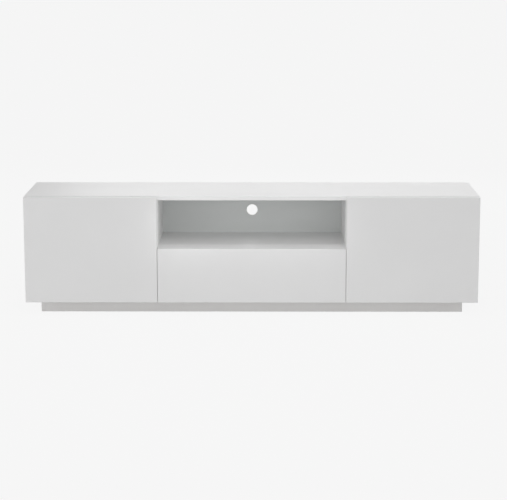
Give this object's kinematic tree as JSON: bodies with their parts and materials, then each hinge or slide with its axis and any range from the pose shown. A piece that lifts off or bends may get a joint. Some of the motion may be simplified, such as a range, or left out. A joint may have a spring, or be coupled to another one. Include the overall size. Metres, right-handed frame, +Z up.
{
  "type": "tv stand with doors",
  "caption": "Low wide television cabinet with a hinged door at each end, an open niche with a cable hole above a wide drawer, and a recessed plinth.",
  "frame": {"origin": "on the floor, at the centre of the footprint", "axes": "+X to the right seen from the front, +Y towards the wall, +Z up; the doors face -Y"},
  "size_m": [1.8, 0.4, 0.475],
  "materials": {
    "white_board": "satin white faced particle board, white edge band",
    "front_lacquer": "satin white front, very slightly warm",
    "thin_board": "white faced hardboard, matt",
    "drawer_board": "white foil on fibreboard, matt",
    "plinth_board": "satin white board",
    "raw_wood": "bare sanded beech",
    "zinc_fitting": "die-cast zinc, dull grey",
    "plated_screw": "zinc-plated steel",
    "nickel_steel": "nickel-plated pressed steel",
    "zinc_steel": "bright zinc-plated rolled steel",
    "grey_plastic": "grey moulded plastic, matt",
    "white_plastic": "white moulded plastic, matt"
  },
  "bodies": {
    "carcass": {"top_panel": "white_board", "bottom_panel": "white_board", "left_side_panel": "white_board", "right_side_panel": "white_board", "left_divider": "white_board", "right_divider": "white_board", "niche_shelf": "white_board", "left_back_panel": "thin_board", "centre_back_panel": "thin_board", "right_back_panel": "thin_board", "left_shelf": "white_board", "right_shelf": "white_board", "shelf_pins": "nickel_steel", "plinth_front_rail": "plinth_board", "plinth_back_rail": "plinth_board", "plinth_left_rail": "plinth_board", "plinth_right_rail": "plinth_board", "left_cross_rail": "plinth_board", "right_cross_rail": "plinth_board", "plinth_blocks": "raw_wood", "plinth_screws": "plated_screw", "cam_locks": "zinc_fitting", "cam_bolts": "plated_screw", "wood_dowels": "raw_wood", "hinge_plates": "nickel_steel", "hinge_plate_screws": "plated_screw", "left_hinge_arms": "nickel_steel", "right_hinge_arms": "nickel_steel", "left_outer_rail": "zinc_steel", "right_outer_rail": "zinc_steel", "outer_rail_screws": "plated_screw", "left_latch_case": "white_plastic", "right_latch_case": "white_plastic", "drawer_latch_cases": "white_plastic", "latch_screws": "plated_screw"},
    "left_door": {"left_door_panel": "front_lacquer", "left_hinge_cups": "nickel_steel", "left_hinge_pins": "nickel_steel", "left_hinge_screws": "plated_screw", "left_strike_plate": "nickel_steel"},
    "right_door": {"right_door_panel": "front_lacquer", "right_hinge_cups": "nickel_steel", "right_hinge_pins": "nickel_steel", "right_hinge_screws": "plated_screw", "right_strike_plate": "nickel_steel"},
    "drawer": {"drawer_front": "front_lacquer", "drawer_left_side": "drawer_board", "drawer_right_side": "drawer_board", "drawer_back": "drawer_board", "drawer_bottom": "thin_board", "drawer_cams": "zinc_fitting", "drawer_bolts": "plated_screw", "drawer_screws": "plated_screw", "left_inner_rail": "zinc_steel", "right_inner_rail": "zinc_steel"},
    "middle_rails": {"left_middle_rail": "zinc_steel", "right_middle_rail": "zinc_steel"},
    "left_plunger": {"left_latch_plunger": "grey_plastic"},
    "right_plunger": {"right_latch_plunger": "grey_plastic"},
    "drawer_plungers": {"drawer_latch_plungers": "grey_plastic"}
  },
  "joints": [
    {"name": "left_door_swing", "type": "hinge", "parent": "carcass", "child": "left_door", "pos_m": [-0.8925, -0.192, 0.2615], "axis": [0, 0, -1], "range_deg": [0, 100]},
    {"name": "right_door_swing", "type": "hinge", "parent": "carcass", "child": "right_door", "pos_m": [0.8925, -0.192, 0.2615], "axis": [0, 0, 1], "range_deg": [0, 100]},
    {"name": "drawer_slide", "type": "slide", "parent": "carcass", "child": "drawer", "axis": [0, -1, 0], "range_m": [0, 0.3]},
    {"name": "middle_rail_slide", "type": "slide", "parent": "carcass", "child": "middle_rails", "axis": [0, -1, 0], "range_m": [0, 0.15]},
    {"name": "left_plunger_slide", "type": "slide", "parent": "carcass", "child": "left_plunger", "axis": [0, -1, 0], "range_m": [0, 0.0121]},
    {"name": "right_plunger_slide", "type": "slide", "parent": "carcass", "child": "right_plunger", "axis": [0, -1, 0], "range_m": [0, 0.0121]},
    {"name": "drawer_plunger_slide", "type": "slide", "parent": "carcass", "child": "drawer_plungers", "axis": [0, -1, 0], "range_m": [0, 0.0121]}
  ],
  "couplings": [
    {"joint": "middle_rail_slide", "follows": "drawer_slide", "ratio": 0.5},
    {"joint": "left_plunger_slide", "follows": "left_door_swing", "m_per_rad": 0.00688},
    {"joint": "right_plunger_slide", "follows": "right_door_swing", "m_per_rad": 0.00688},
    {"joint": "drawer_plunger_slide", "follows": "drawer_slide", "ratio": 0.04}
  ]
}
